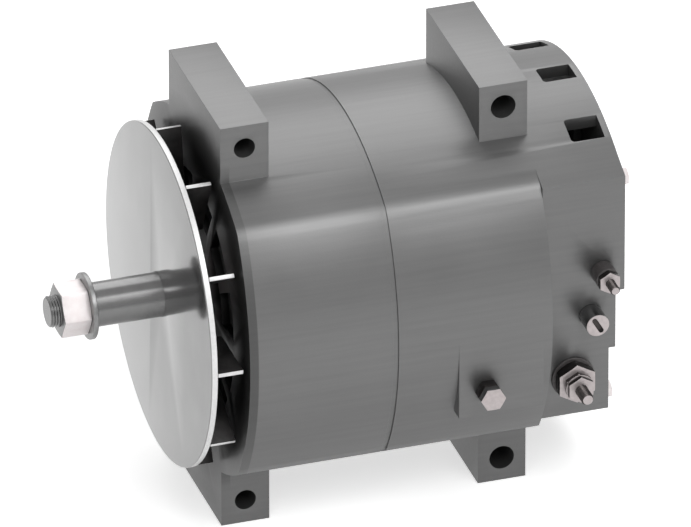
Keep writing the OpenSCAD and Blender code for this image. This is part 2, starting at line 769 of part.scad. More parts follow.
module shaft() color(steel) {
    rod(-nose_len - shaft_washer_t - shaft_nut_h - thread_proud, -nose_len, thread_d / 2);
    rod(-nose_len, front_brg_x, nose_d / 2);
    rod(front_brg_x, front_brg_end, front_brg_bore / 2 - fit);
    rod(front_brg_end, pole_x, shoulder_d / 2);
    rod(pole_x, pole_end, pole_seat_d / 2);
    rod(pole_end, rear_brg_x, ring_seat_d / 2);
    rod(rear_brg_x, shaft_end, rear_brg_bore / 2 - fit);
}

module shaft_washer() color(dark_steel)
    ring(-nose_len - shaft_washer_t, -nose_len, thread_d / 2 + fit, shaft_washer_d / 2);

module shaft_nut() color(steel) along_shaft(-nose_len - shaft_washer_t - shaft_nut_h)
    hex_nut(shaft_nut_af, shaft_nut_h, thread_d, 0);

module fan_disc() color(pressed_steel) ring(0, fan_t, nose_d / 2 + fit, fan_r);

module fan_blades() color(pressed_steel) along_shaft(fan_t) for (i = [0 : blade_count - 1]) intersection() {
    rotate([0, 0, 180 - blade_phase - i * 360 / blade_count])
        translate([blade_in, -blade_t / 2, 0]) cube([fan_r, blade_t, blade_len]);
    cylinder(h = blade_len, r = fan_r);
}

module fan_spacer() color(steel) ring(fan_t, front_brg_x, nose_d / 2 + fit, spacer_d / 2);

// Claw pole: a disc and half of the coil's core, with fingers that taper towards the other pole
module claw_pole() {
    finger_len = rotor_len - finger_end_gap;
    difference() {
        union() {
            rod(0, pole_t, pole_disc_r);
            rod(0, rotor_len / 2, pole_core_r);
            intersection() {
                along_shaft(0) rotate_extrude() polygon([
                    [pole_core_r, 0], [pole_r - 2, 0], [pole_r, 2], [pole_r, finger_len],
                    [pole_r - finger_tip_t, finger_len], [pole_disc_r + coil_gap, pole_t], [pole_core_r, pole_t]
                ]);
                for (i = [0 : finger_count - 1]) rotate([i * 360 / finger_count, 0, 0]) linear_extrude(big)
                    polygon([[-cut, -finger_root], [finger_len + cut, -finger_tip],
                        [finger_len + cut, finger_tip], [-cut, finger_root]]);
            }
        }
        rod(-cut, rotor_len, pole_seat_d / 2 + fit);
    }
}

module front_pole() color(iron) translate([pole_x, 0, 0]) claw_pole();

module rear_pole() color(iron) translate([pole_end, 0, 0]) mirror([1, 0, 0])
    rotate([180 / finger_count, 0, 0]) claw_pole();

module coil_bobbin() color(insulating) {
    x0 = pole_x + pole_t;
    x1 = pole_end - pole_t;
    ring(x0, x1, pole_core_r + fit, pole_core_r + bobbin_wall);
    ring(x0, x0 + bobbin_wall, pole_core_r + fit, pole_disc_r);
    ring(x1 - bobbin_wall, x1, pole_core_r + fit, pole_disc_r);
}

module field_coil() color(copper) ring(
    pole_x + pole_t + bobbin_wall, pole_end - pole_t - bobbin_wall,
    pole_core_r + bobbin_wall + fit, pole_disc_r - 0.5);

module slip_ring_sleeve() color(insulating)
    ring(ring1_x - ring_w / 2 - 3, ring2_x + ring_w / 2 + 3, ring_seat_d / 2 + fit, ring_body_r);

module slip_rings() color(copper) for (x = [ring1_x, ring2_x])
    ring(x - ring_w / 2, x + ring_w / 2, ring_body_r + fit, ring_r);

// Box that guides both brushes, on an arm and a foot that is screwed to the rear wall
module brush_holder() color(insulating) difference() {
    union() {
        translate([holder_x, -holder_half_y, holder_in_z])
            cube([holder_end - holder_x, 2 * holder_half_y, holder_out_z - holder_in_z]);
        translate([holder_x, -holder_half_y, holder_out_z - holder_arm_t])
            cube([foot_x - holder_x, 2 * holder_half_y, holder_arm_t]);
        translate([foot_x, -foot_half_y, holder_out_z - holder_arm_t])
            cube([foot_t, 2 * foot_half_y, foot_end_z - holder_out_z + holder_arm_t]);
    }
    for (x = [ring1_x, ring2_x])
        translate([x - brush_w / 2 - run_gap, -brush_t / 2 - run_gap, holder_in_z - cut])
            cube([brush_w + 2 * run_gap, brush_t + 2 * run_gap, brush_back_z + spring_len - holder_in_z + cut]);
    foot_screw_places() rod(foot_x - cut, foot_x + foot_t + cut, small_screw_r + fit);
}

module foot_screw_places() for (side = [-1, 1]) translate([0, side * foot_screw_y, foot_screw_up]) children();
module brush_holder_screws() color(steel) foot_screw_places()
    pan_screw(foot_x, 1, foot_t + foot_pad_t + 0.8, small_screw_r);

// Carbon brush with a hollow face that fits the ring
module brush(x) color("#3a3a3c") difference() {
    translate([x - brush_w / 2, -brush_t / 2, ring_r - 1]) cube([brush_w, brush_t, brush_back_z - ring_r + 1]);
    rod(x - ring_w, x + ring_w, ring_r + brush_gap);
}

module front_brush() brush(ring1_x);
module rear_brush() brush(ring2_x);

// Coil spring of round wire between a brush and the holder's closed end, as a swept tube
module brush_spring(x) color(steel) translate([x, 0, brush_back_z + spring_wire / 2]) {
    sides = 6;
    steps = 12 * spring_turns;
    coil_r = brush_w / 2 - spring_wire / 2 - 0.3;
    rise = spring_len - spring_wire;
    points = [for (i = [0 : steps]) let (a = 360 * spring_turns * i / steps, z = rise * i / steps)
        for (k = [0 : sides - 1]) let (b = 360 * k / sides, r = coil_r + spring_wire / 2 * cos(b))
            [r * cos(a), r * sin(a), z + spring_wire / 2 * sin(b)]];
    wall = [for (i = [0 : steps - 1], k = [0 : sides - 1]) let (n = (k + 1) % sides)
        [i * sides + k, (i + 1) * sides + k, (i + 1) * sides + n, i * sides + n]];
    first = [[for (k = [0 : sides - 1]) k]];
    last = [[for (k = [sides - 1 : -1 : 0]) steps * sides + k]];
    polyhedron(points, concat(wall, first, last));
}

module front_brush_spring() brush_spring(ring1_x);
module rear_brush_spring() brush_spring(ring2_x);

module post_places() for (side = [-1, 1], turn = post_angles) on_circle(side, turn) children();

// Crescent of finned aluminium over an arc, bored for its diodes and screws
module heat_sink(side) difference() {
    union() {
        intersection() {
            ring(sink_x, sink_end, sink_in, sink_out);
            sink_arc(side);
        }
        for (turn = side > 0 ? [-43, -15, 15, 43] : [-43, -15, 15]) on_circle(side, turn)
            translate([sink_end - cut, sink_in + 1 - diode_circle, -1]) cube([fin_h + cut, sink_out - sink_in - 4, 2]);
    }
    for (turn = diode_angles) on_circle(side, turn) rod(sink_x - cut, sink_end + cut, diode_d / 2 + fit);
    post_places() rod(sink_x - cut, sink_end + cut, screw_r + fit);
    if (side < 0) strap_screw_place() rod(sink_x - cut, sink_end + cut, small_screw_r + fit);
}

// Wedge that keeps one side of a ring, clear of the brush holder at the top
module sink_arc(side) along_shaft(sink_x - cut) linear_extrude(sink_t + 2 * cut) polygon([
    [0, 0], [side * big * sin(sink_from), big * cos(sink_from)], [side * big, big],
    [side * big, -big], [side * big * sin(sink_from), -big * cos(sink_from)]
]);

module positive_heat_sink() color("#9a9a9c") heat_sink(-1);
module negative_heat_sink() color("#9a9a9c") heat_sink(1);

module sink_insulators() color(insulating) for (turn = post_angles)
    on_circle(-1, turn) ring(sink_end, sink_end + insulator_t, screw_r + fit, post_r + 1);

module sink_screws() color(steel) post_places() pan_screw(sink_x, 1, sink_t + sink_screw_grip, screw_r);

// Press-fit diode: a case in the heat sink's bore and a pin towards the winding
module diodes(side) for (turn = diode_angles) on_circle(side, turn) {
    rod(sink_end - diode_h, sink_end, diode_d / 2);
    rod(sink_end - diode_h - diode_pin_len, sink_end - diode_h, diode_pin_r);
}

module positive_diodes() color(steel) diodes(-1);
module negative_diodes() color(steel) diodes(1);

// Round can screwed to the rear wall below the bearing, with its terminal at the inner end
module capacitor() color(steel) translate([0, 0, capacitor_d / 2 - bolt_at]) {
    rod(rear_in_x - capacitor_len, rear_in_x, capacitor_d / 2);
    rod(rear_in_x - capacitor_len - capacitor_pin, rear_in_x - capacitor_len, small_screw_r);
}

// Sealed electronic regulator against the stepped rear wall, bored for the adjuster's stem
module regulator() color(insulating) difference() {
    translate([rear_in_x - middle_step - regulator_len, -sink_out, adjuster_z - regulator_h / 2])
        cube([regulator_len, regulator_w, regulator_h]);
    out_of_side(adjuster_x, inner_y - stem_len - cut, adjuster_z) cylinder(h = big, r = stem_d / 2 + run_gap);
}

// Slotted adjuster of the regulator's voltage: a round head in the flat's bore, with a stem behind it
module voltage_adjuster() color(steel) difference() {
    union() {
        out_of_side(adjuster_x, inner_y, adjuster_z) cylinder(h = flat_wall + adjuster_h, r = adjuster_d / 2);
        out_of_side(adjuster_x, inner_y - stem_len, adjuster_z) cylinder(h = stem_len, r = stem_d / 2);
    }
    out_of_side(adjuster_x, flat_y + adjuster_h - 2, adjuster_z) rotate([0, 0, slot_angle]) {
        translate([-3.4, -1.2, 0]) cube([6.8, 2.4, 3]);
        for (end = [-3.4, 3.4]) translate([end, 0, 0]) cylinder(h = 3, r = 1.2);
    }
}

module strap_screw_place() translate([0, -strap_screw_y, output_z]) children();

// Copper strap from the output stud to the positive heat sink
module output_strap() color(copper) difference() {
    union() {
        translate([sink_end, -strap_y, output_z - strap_w / 2])
            cube([output_x + strap_w / 2 - sink_end, strap_t, strap_w]);
        translate([sink_end, -strap_y, output_z - strap_w / 2]) cube([strap_t, strap_leg, strap_w]);
    }
    out_of_side(output_x, strap_y - strap_t - cut, output_z) cylinder(h = strap_t + 2 * cut, r = output_d / 2 + fit);
    strap_screw_place() rod(sink_end - cut, sink_end + strap_t + cut, small_screw_r + fit);
}

module strap_screw() color(steel) strap_screw_place()
    pan_screw(sink_end + strap_t, -1, sink_t + strap_t, small_screw_r);

// Stud from its head at y0 to its tip: the gripped thread ends just past the last nut, at y1
module stud(x, z, y0, y1, y2, d, grip_d) {
    out_of_side(x, y0, z) cylinder(h = y1 + grip_past - y0, r = grip_d / 2);
    out_of_side(x, y1 + grip_past, z) cylinder(h = y2 - y1 - grip_past, r = d / 2);
}

module output_stud() color(dark_steel) {
    base_y = flat_y + output_flange_t + base_nut_h;
    out_of_side(output_x, strap_y - strap_t - stud_head_h, output_z) cylinder(h = stud_head_h, r = stud_head_r, $fn = 6);
    stud(output_x, output_z, strap_y - strap_t, base_y + clamp_nut_h, base_y + output_reach, output_d, output_grip_d);
}

// Insulating bush with a flange on each side of the wall
module bush(x, z, bore_d, sleeve_r, out_r, out_h, in_r) difference() {
    union() {
        out_of_side(x, flat_y, z) cylinder(h = out_h, r = out_r);
        out_of_side(x, inner_y, z) cylinder(h = flat_wall, r = sleeve_r - fit);
        out_of_side(x, inner_y - flange_t, z) cylinder(h = flange_t, r = in_r);
    }
    out_of_side(x, inner_y - flange_t - cut, z) cylinder(h = flat_wall + flange_t + out_h + 2 * cut, r = bore_d / 2 + fit);
}

module output_insulator() color(insulating)
    bush(output_x, output_z, output_d, output_d / 2 + output_sleeve_t, base_nut_af / root3 + 0.4, output_flange_t,
        output_flange_r);

module output_base_nut() color(steel) out_of_side(output_x, flat_y + output_flange_t, output_z)
    hex_nut(base_nut_af, base_nut_h, output_grip_d, 30);

module output_clamp_nut() color(steel) out_of_side(output_x, flat_y + output_flange_t + base_nut_h, output_z)
    hex_nut(clamp_nut_af, clamp_nut_h, output_grip_d, 30);

module small_stud() color(dark_steel) {
    nut_y = flat_y + small_base_h + small_nut_h;
    out_of_side(small_x, strap_y - small_head_h, small_z) cylinder(h = small_head_h, r = small_head_r);
    stud(small_x, small_z, strap_y, nut_y, nut_y + small_reach, small_d, small_grip_d);
}

module small_insulator() color(insulating)
    bush(small_x, small_z, small_d, small_d / 2 + small_sleeve_t, small_base_d / 2, small_base_h, small_flange_r);

module small_nut() color(steel) out_of_side(small_x, flat_y + small_base_h, small_z)
    hex_nut(small_nut_af, small_nut_h, small_grip_d, 30);

module ground_nut() color(dark_steel) out_of_side(ground_x, side_half, -ground_z)
    hex_nut(ground_af, ground_nut_h, ground_d, 0);

module ground_bolt() color(steel) {
    out_of_side(ground_x, side_half + ground_nut_h, -ground_z) hex_body(ground_af, ground_head_h, 0);
    out_of_side(ground_x, side_half - ground_grip, -ground_z) cylinder(h = ground_nut_h + ground_grip, r = ground_d / 2);
}

front_frame();
rear_frame();
through_bolts();
rear_cap();
stator_core();
stator_winding();
phase_leads();
front_outer_race();
front_shields();
bearing_retainer();
retainer_screws();
rear_outer_race();
rear_shields();
front_balls();
front_cage();
rear_balls();
rear_cage();
shaft();
shaft_nut();
shaft_washer();
fan_disc();
fan_blades();
fan_spacer();
front_inner_race();
rear_inner_race();
front_pole();
rear_pole();
coil_bobbin();
field_coil();
slip_ring_sleeve();
slip_rings();
brush_holder();
brush_holder_screws();
front_brush();
rear_brush();
front_brush_spring();
rear_brush_spring();
positive_heat_sink();
negative_heat_sink();
sink_insulators();
sink_screws();
positive_diodes();
negative_diodes();
capacitor();
regulator();
voltage_adjuster();
output_strap();
strap_screw();
output_stud();
output_insulator();
output_base_nut();
output_clamp_nut();
small_stud();
small_insulator();
small_nut();
ground_bolt();
ground_nut();
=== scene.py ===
import math

import bpy
from mathutils import Matrix, Vector


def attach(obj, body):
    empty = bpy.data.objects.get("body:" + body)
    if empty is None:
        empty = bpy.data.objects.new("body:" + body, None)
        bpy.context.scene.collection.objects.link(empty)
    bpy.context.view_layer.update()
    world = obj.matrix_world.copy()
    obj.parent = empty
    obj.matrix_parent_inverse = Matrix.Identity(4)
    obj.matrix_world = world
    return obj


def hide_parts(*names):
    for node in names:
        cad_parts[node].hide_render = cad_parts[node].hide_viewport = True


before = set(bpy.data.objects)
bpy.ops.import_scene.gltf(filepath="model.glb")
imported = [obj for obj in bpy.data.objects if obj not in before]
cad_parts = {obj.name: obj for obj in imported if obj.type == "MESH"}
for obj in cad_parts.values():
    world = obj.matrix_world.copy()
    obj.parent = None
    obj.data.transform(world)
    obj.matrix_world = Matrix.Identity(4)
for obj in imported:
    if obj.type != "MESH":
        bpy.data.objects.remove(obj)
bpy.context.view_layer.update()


# Front frame. Sand-cast aluminium: a square drum with bulged sides and two lug bars, cast in one.
# Its end wall and bores are turned, and a shallow relief band runs round it in front of the joint.
def colour(code):
    channels = [int(code[i:i + 2], 16) / 255 for i in (1, 3, 5)]
    return [c / 12.92 if c <= 0.04045 else ((c + 0.055) / 1.055) ** 2.4 for c in channels] + [1]


def add_node(tree, kind, inputs={}, **settings):
    made = tree.nodes.new("ShaderNode" + kind)
    for key, value in settings.items():
        setattr(made, key, value)
    for key, value in inputs.items():
        if isinstance(value, bpy.types.NodeSocket):
            tree.links.new(value, made.inputs[key])
        else:
            made.inputs[key].default_value = value
    return made


def new_material(name):
    made = bpy.data.materials.new(name)
    made.use_nodes = True
    return made, made.node_tree, made.node_tree.nodes["Principled BSDF"]


def only(obj):
    bpy.ops.object.select_all(action="DESELECT")
    obj.select_set(True)
    bpy.context.view_layer.objects.active = obj
    return obj


def settle(obj, name, body, material, node):
    smooth_below = math.radians(30)
    only(obj)
    obj.name = obj.data.name = name
    bpy.ops.object.transform_apply(location=True, rotation=True, scale=True)
    bpy.ops.object.mode_set(mode="EDIT")
    bpy.ops.mesh.select_all(action="SELECT")
    bpy.ops.mesh.normals_make_consistent(inside=False)
    bpy.ops.object.mode_set(mode="OBJECT")
    bpy.ops.object.shade_smooth_by_angle(angle=smooth_below)
    obj.data.materials.clear()
    obj.data.materials.append(material)
    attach(obj, body)
    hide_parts(node)
    return obj


def apply_modifier(obj, kind, **settings):
    only(obj)
    made = obj.modifiers.new(kind.lower(), kind)
    for key, value in settings.items():
        setattr(made, key, value)
    bpy.ops.object.modifier_apply(modifier=made.name)
    return obj


same_point = 0.000002
flat_within = math.radians(0.2)


def dressed_copy(name, rounding):
    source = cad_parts[name]
    made = bpy.data.objects.new(name + "_dressed", source.data.copy())
    bpy.context.scene.collection.objects.link(made)
    only(made)
    bpy.ops.object.mode_set(mode="EDIT")
    bpy.ops.mesh.select_all(action="SELECT")
    bpy.ops.mesh.remove_doubles(threshold=same_point)
    bpy.ops.mesh.dissolve_limited(angle_limit=flat_within)
    bpy.ops.object.mode_set(mode="OBJECT")
    apply_modifier(made, "BEVEL", width=rounding, segments=3, limit_method="ANGLE",
                   angle_limit=math.radians(35), use_clamp_overlap=True)
    return made


# Cast aluminium, blasted and then lightly brushed: matt grey, with clouds of about 36 mm and faint streaks
# about 2.4 mm wide along the shaft. Its 0.8 mm grain is coarser than real blasting, so that it shows.
cast_aluminium, tree, shader = new_material("cast_aluminium_blasted")
place = add_node(tree, "TexCoord").outputs["Object"]
streaks = add_node(tree, "Mapping", {"Vector": place, "Scale": (14, 420, 420)}).outputs["Vector"]
streak = add_node(tree, "TexNoise", {"Vector": streaks, "Scale": 1.0, "Detail": 3.0, "Roughness": 0.6})
blotch = add_node(tree, "TexNoise", {"Vector": place, "Scale": 28.0, "Detail": 2.0})
grain = add_node(tree, "TexNoise", {"Vector": place, "Scale": 1300.0, "Detail": 2.0})
mixed = add_node(tree, "Mix", {"Factor": 0.35, "A": streak.outputs[0], "B": blotch.outputs[0]})
tone = add_node(tree, "ValToRGB", {"Fac": mixed.outputs[0]})
tone.color_ramp.elements[0].position, tone.color_ramp.elements[1].position = 0.25, 0.75
tone.color_ramp.elements[0].color, tone.color_ramp.elements[1].color = colour("#656565"), colour("#6D6D6D")

# The end wall behind the fan is painted near black as shade, fading out between these radii near the rim
# and ending where the wall turns into the drum's side.
full_r, gone_r = 0.078, 0.100
wall_x, side_x = 0.0225, 0.0235
along = add_node(tree, "SeparateXYZ", {"Vector": place}).outputs[0]
across = add_node(tree, "Mapping", {"Vector": place, "Scale": (0, 1, 1)}).outputs["Vector"]
radius = add_node(tree, "VectorMath", {0: across}, operation="LENGTH").outputs["Value"]
rim = add_node(tree, "MapRange", {"Value": radius, "From Min": full_r, "From Max": gone_r}).outputs[0]
wall = add_node(tree, "MapRange", {"Value": along, "From Min": wall_x, "From Max": side_x}).outputs[0]
unshaded = add_node(tree, "Math", {0: rim, 1: wall}, operation="MAXIMUM").outputs[0]
painted_shade_mix = add_node(tree, "Mix", {"Factor": unshaded}, data_type="RGBA")
painted_shade_mix.inputs["A"].default_value = colour("#1E1E1E")
rough = add_node(tree, "MapRange", {"Value": blotch.outputs[0], "To Min": 0.36, "To Max": 0.44})
bump = add_node(tree, "Bump", {"Height": grain.outputs[0], "Strength": 0.25, "Distance": 0.00012})
shader.inputs["Metallic"].default_value = 0.8
tree.links.new(tone.outputs[0], painted_shade_mix.inputs["B"])
tree.links.new(painted_shade_mix.outputs["Result"], shader.inputs["Base Color"])
tree.links.new(rough.outputs[0], shader.inputs["Roughness"])
tree.links.new(bump.outputs[0], shader.inputs["Normal"])

cast_rounding = 0.0006
front = dressed_copy("front_frame", cast_rounding)
settle(front, "front_casting", "housing", cast_aluminium, "front_frame")


# Rear frame. The same casting metal, with the ground pad and the terminal flat milled on the near side
# and air windows cut round its closed end.
def join(first, *others):
    only(first)
    for other in others:
        other.select_set(True)
    bpy.ops.object.join()
    return first


rear = dressed_copy("rear_frame", cast_rounding)

# The air window beside the lower step breaks through the step's two walls, so each gets a thin block here.
wall_along = (0.21015, -0.0450, -0.0560), (0.0053, 0.0029, 0.0350)
wall_across = (0.20630, -0.0482, -0.0550), (0.0031, 0.0038, 0.0340)
for at, size in (wall_along, wall_across):
    bpy.ops.object.select_all(action="DESELECT")
    bpy.ops.mesh.primitive_cube_add(size=1, location=at, scale=size)
    closing = bpy.context.object
    bpy.ops.object.transform_apply(location=True, rotation=True, scale=True)
    join(rear, closing)
settle(rear, "rear_casting", "housing", cast_aluminium, "rear_frame")


# Bearings. Ball bearings of ground and hardened steel carry the rotor in both frames: rings and balls in
# turned brass cages, with pressed shields at both sides. A screwed plate keeps the front one in its bore.
def finish_node(material, *names):
    for name in names:
        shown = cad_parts[name]
        shown.data.materials.clear()
        shown.data.materials.append(material)


# Ground bearing steel: bright and nearly a mirror, with its gloss a little uneven every millimetre.
bearing_steel, tree, shader = new_material("bearing_steel_ground")
place = add_node(tree, "TexCoord").outputs["Object"]
fine = add_node(tree, "TexNoise", {"Vector": place, "Scale": 900.0, "Detail": 2.0})
rough = add_node(tree, "MapRange", {"Value": fine.outputs[0], "To Min": 0.12, "To Max": 0.24})
shader.inputs["Base Color"].default_value = colour("#C9C9C7")
shader.inputs["Metallic"].default_value = 1.0
tree.links.new(rough.outputs[0], shader.inputs["Roughness"])
finish_node(bearing_steel, "front_outer_race", "front_inner_race", "rear_outer_race", "rear_inner_race",
            "front_balls", "rear_balls")

# Turned brass: warm yellow, dulled by oil, with a soft mottle of about 2 mm.
cage_brass, tree, shader = new_material("cage_brass_turned")
place = add_node(tree, "TexCoord").outputs["Object"]
fine = add_node(tree, "TexNoise", {"Vector": place, "Scale": 500.0, "Detail": 3.0})
tone = add_node(tree, "ValToRGB", {"Fac": fine.outputs[0]})
tone.color_ramp.elements[0].color, tone.color_ramp.elements[1].color = colour("#9C8444"), colour("#BFA65E")
shader.inputs["Metallic"].default_value = 1.0
shader.inputs["Roughness"].default_value = 0.35
tree.links.new(tone.outputs[0], shader.inputs["Base Color"])
finish_node(cage_brass, "front_cage", "rear_cage")

# Pressed steel sheet, zinc plated: pale grey with a satin sheen and a speckle drawn at about 1.6 mm,
# coarser than the real plating, so that it shows.
pressed_steel, tree, shader = new_material("pressed_steel_zinc_plated")
place = add_node(tree, "TexCoord").outputs["Object"]
speckle = add_node(tree, "TexNoise", {"Vector": place, "Scale": 620.0, "Detail": 3.0, "Roughness": 0.7})
cloud = add_node(tree, "TexNoise", {"Vector": place, "Scale": 30.0, "Detail": 2.0})
mixed = add_node(tree, "Mix", {"Factor": 0.5, "A": speckle.outputs[0], "B": cloud.outputs[0]})
tone = add_node(tree, "ValToRGB", {"Fac": mixed.outputs[0]})
tone.color_ramp.elements[0].position, tone.color_ramp.elements[1].position = 0.3, 0.7
tone.color_ramp.elements[0].color, tone.color_ramp.elements[1].color = colour("#D8D8D8"), colour("#EFEFEF")
bump = add_node(tree, "Bump", {"Height": speckle.outputs[0], "Strength": 0.15, "Distance": 0.00008})
shader.inputs["Metallic"].default_value = 0.25
shader.inputs["Roughness"].default_value = 0.42
tree.links.new(tone.outputs[0], shader.inputs["Base Color"])
tree.links.new(bump.outputs[0], shader.inputs["Normal"])
finish_node(pressed_steel, "front_shields", "rear_shields", "bearing_retainer", "rear_cap")


# Stator. A stack of varnished steel sheets held between the frames, with insulated copper wire wound through
# its slots. Copper leads take the current from its three phases to the rectifier.

# Varnished steel sheet, stacked: dark brown-grey, with a fine line about every millimetre along the shaft.
lamination_steel, tree, shader = new_material("lamination_steel_varnished")
place = add_node(tree, "TexCoord").outputs["Object"]
sheets = add_node(tree, "Mapping", {"Vector": place, "Scale": (1, 0, 0)}).outputs["Vector"]
stack = add_node(tree, "TexWave", {"Vector": sheets, "Scale": 320.0, "Distortion": 0.3})
tone = add_node(tree, "ValToRGB", {"Fac": stack.outputs[1]})
tone.color_ramp.elements[0].color, tone.color_ramp.elements[1].color = colour("#4A4846"), colour("#6B6966")
bump = add_node(tree, "Bump", {"Height": stack.outputs[1], "Strength": 0.4, "Distance": 0.0001})
shader.inputs["Metallic"].default_value = 0.8
shader.inputs["Roughness"].default_value = 0.5
tree.links.new(tone.outputs[0], shader.inputs["Base Color"])
tree.links.new(bump.outputs[0], shader.inputs["Normal"])
finish_node(lamination_steel, "stator_core")

# Enamelled copper wire: glossy brown strands about 1.2 mm thick, lighter along their crowns.
enamelled_copper, tree, shader = new_material("copper_wire_enamelled")
place = add_node(tree, "TexCoord").outputs["Object"]
turns = add_node(tree, "TexWave", {"Vector": place, "Scale": 260.0, "Distortion": 2.0, "Detail": 2.0})
tone = add_node(tree, "ValToRGB", {"Fac": turns.outputs[1]})
tone.color_ramp.elements[0].color, tone.color_ramp.elements[1].color = colour("#6E3A1E"), colour("#B5713F")
bump = add_node(tree, "Bump", {"Height": turns.outputs[1], "Strength": 0.6, "Distance": 0.0004})
shader.inputs["Metallic"].default_value = 0.7
shader.inputs["Roughness"].default_value = 0.3
shader.inputs["Coat Weight"].default_value = 0.5
tree.links.new(tone.outputs[0], shader.inputs["Base Color"])
tree.links.new(bump.outputs[0], shader.inputs["Normal"])
finish_node(enamelled_copper, "stator_winding", "field_coil")

# Drawn copper, bare: warm and bright, with a faint tarnish in patches of about 3 mm.
bare_copper, tree, shader = new_material("copper_drawn")
place = add_node(tree, "TexCoord").outputs["Object"]
draw = add_node(tree, "TexNoise", {"Vector": place, "Scale": 300.0, "Detail": 3.0})
tone = add_node(tree, "ValToRGB", {"Fac": draw.outputs[0]})
tone.color_ramp.elements[0].color, tone.color_ramp.elements[1].color = colour("#A8643C"), colour("#CC8A5E")
shader.inputs["Metallic"].default_value = 1.0
shader.inputs["Roughness"].default_value = 0.3
tree.links.new(tone.outputs[0], shader.inputs["Base Color"])
finish_node(bare_copper, "phase_leads", "slip_rings", "output_strap")


# Rotor inside the frames. Two forged claw poles are pressed on the shaft, with a coil on a moulded bobbin
# between them. Behind them a moulded sleeve carries the slip rings that feed the coil.

# Forged iron, turned where it runs: dark brown-grey and dull, with scale marks of about 5 mm.
forged_iron, tree, shader = new_material("iron_forged_and_turned")
place = add_node(tree, "TexCoord").outputs["Object"]
scale_marks = add_node(tree, "TexNoise", {"Vector": place, "Scale": 180.0, "Detail": 4.0})
tone = add_node(tree, "ValToRGB", {"Fac": scale_marks.outputs[0]})
tone.color_ramp.elements[0].color, tone.color_ramp.elements[1].color = colour("#474543"), colour("#77736F")
bump = add_node(tree, "Bump", {"Height": scale_marks.outputs[0], "Strength": 0.3, "Distance": 0.0002})
shader.inputs["Metallic"].default_value = 0.9
shader.inputs["Roughness"].default_value = 0.48
tree.links.new(tone.outputs[0], shader.inputs["Base Color"])
tree.links.new(bump.outputs[0], shader.inputs["Normal"])
finish_node(forged_iron, "front_pole", "rear_pole")

# Phenolic moulding: black with a soft sheen, and flow marks of about 1.4 mm that just break it.
black_moulding, tree, shader = new_material("phenolic_moulded_black")
place = add_node(tree, "TexCoord").outputs["Object"]
flow = add_node(tree, "TexNoise", {"Vector": place, "Scale": 700.0, "Detail": 2.0})
tone = add_node(tree, "ValToRGB", {"Fac": flow.outputs[0]})
tone.color_ramp.elements[0].color, tone.color_ramp.elements[1].color = colour("#151414"), colour("#262424")
bump = add_node(tree, "Bump", {"Height": flow.outputs[0], "Strength": 0.2, "Distance": 0.0001})
shader.inputs["Roughness"].default_value = 0.5
tree.links.new(tone.outputs[0], shader.inputs["Base Color"])
tree.links.new(bump.outputs[0], shader.inputs["Normal"])
finish_node(black_moulding, "coil_bobbin", "slip_ring_sleeve", "brush_holder", "sink_insulators", "regulator")


# Rectifier, brushes and capacitor behind the rotor, seen only through the air windows. Diodes are pressed
# into two extruded heat sinks on posts of the rear frame, and springs hold carbon brushes to the slip rings.

# Extruded aluminium: pale grey and satin, with die lines about 2 mm apart along the shaft.
sink_aluminium, tree, shader = new_material("aluminium_extruded")
place = add_node(tree, "TexCoord").outputs["Object"]
die = add_node(tree, "Mapping", {"Vector": place, "Scale": (20, 500, 500)}).outputs["Vector"]
lines = add_node(tree, "TexNoise", {"Vector": die, "Scale": 1.0, "Detail": 2.0})
tone = add_node(tree, "ValToRGB", {"Fac": lines.outputs[0]})
tone.color_ramp.elements[0].color, tone.color_ramp.elements[1].color = colour("#8F8F92"), colour("#B4B4B6")
shader.inputs["Metallic"].default_value = 1.0
shader.inputs["Roughness"].default_value = 0.4
tree.links.new(tone.outputs[0], shader.inputs["Base Color"])
finish_node(sink_aluminium, "positive_heat_sink", "negative_heat_sink")

# Tinned steel: pale and bright, with a bloom of crystals about 4 mm across that turn from gloss to satin.
tin_case, tree, shader = new_material("steel_case_tinned")
place = add_node(tree, "TexCoord").outputs["Object"]
bloom = add_node(tree, "TexVoronoi", {"Vector": place, "Scale": 260.0})
rough = add_node(tree, "MapRange", {"Value": bloom.outputs[0], "To Min": 0.25, "To Max": 0.42})
shader.inputs["Base Color"].default_value = colour("#B3B4B2")
shader.inputs["Metallic"].default_value = 1.0
tree.links.new(rough.outputs[0], shader.inputs["Roughness"])
finish_node(tin_case, "positive_diodes", "negative_diodes", "capacitor")

# Pressed carbon: matt black, with a dusty grain drawn at 0.7 mm, coarser than real, so that it shows.
carbon, tree, shader = new_material("carbon_pressed")
place = add_node(tree, "TexCoord").outputs["Object"]
dust = add_node(tree, "TexNoise", {"Vector": place, "Scale": 1500.0, "Detail": 2.0})
tone = add_node(tree, "ValToRGB", {"Fac": dust.outputs[0]})
tone.color_ramp.elements[0].color, tone.color_ramp.elements[1].color = colour("#1E1E20"), colour("#3A3A3D")
shader.inputs["Roughness"].default_value = 0.6
tree.links.new(tone.outputs[0], shader.inputs["Base Color"])
finish_node(carbon, "front_brush", "rear_brush")

# Drawn spring steel: grey and bright along the wire, with its gloss a little uneven every millimetre.
spring_steel, tree, shader = new_material("spring_steel_drawn")
place = add_node(tree, "TexCoord").outputs["Object"]
drawn = add_node(tree, "TexNoise", {"Vector": place, "Scale": 1100.0})
rough = add_node(tree, "MapRange", {"Value": drawn.outputs[0], "To Min": 0.2, "To Max": 0.38})
shader.inputs["Base Color"].default_value = colour("#9B9B9B")
shader.inputs["Metallic"].default_value = 1.0
tree.links.new(rough.outputs[0], shader.inputs["Roughness"])
finish_node(spring_steel, "front_brush_spring", "rear_brush_spring")


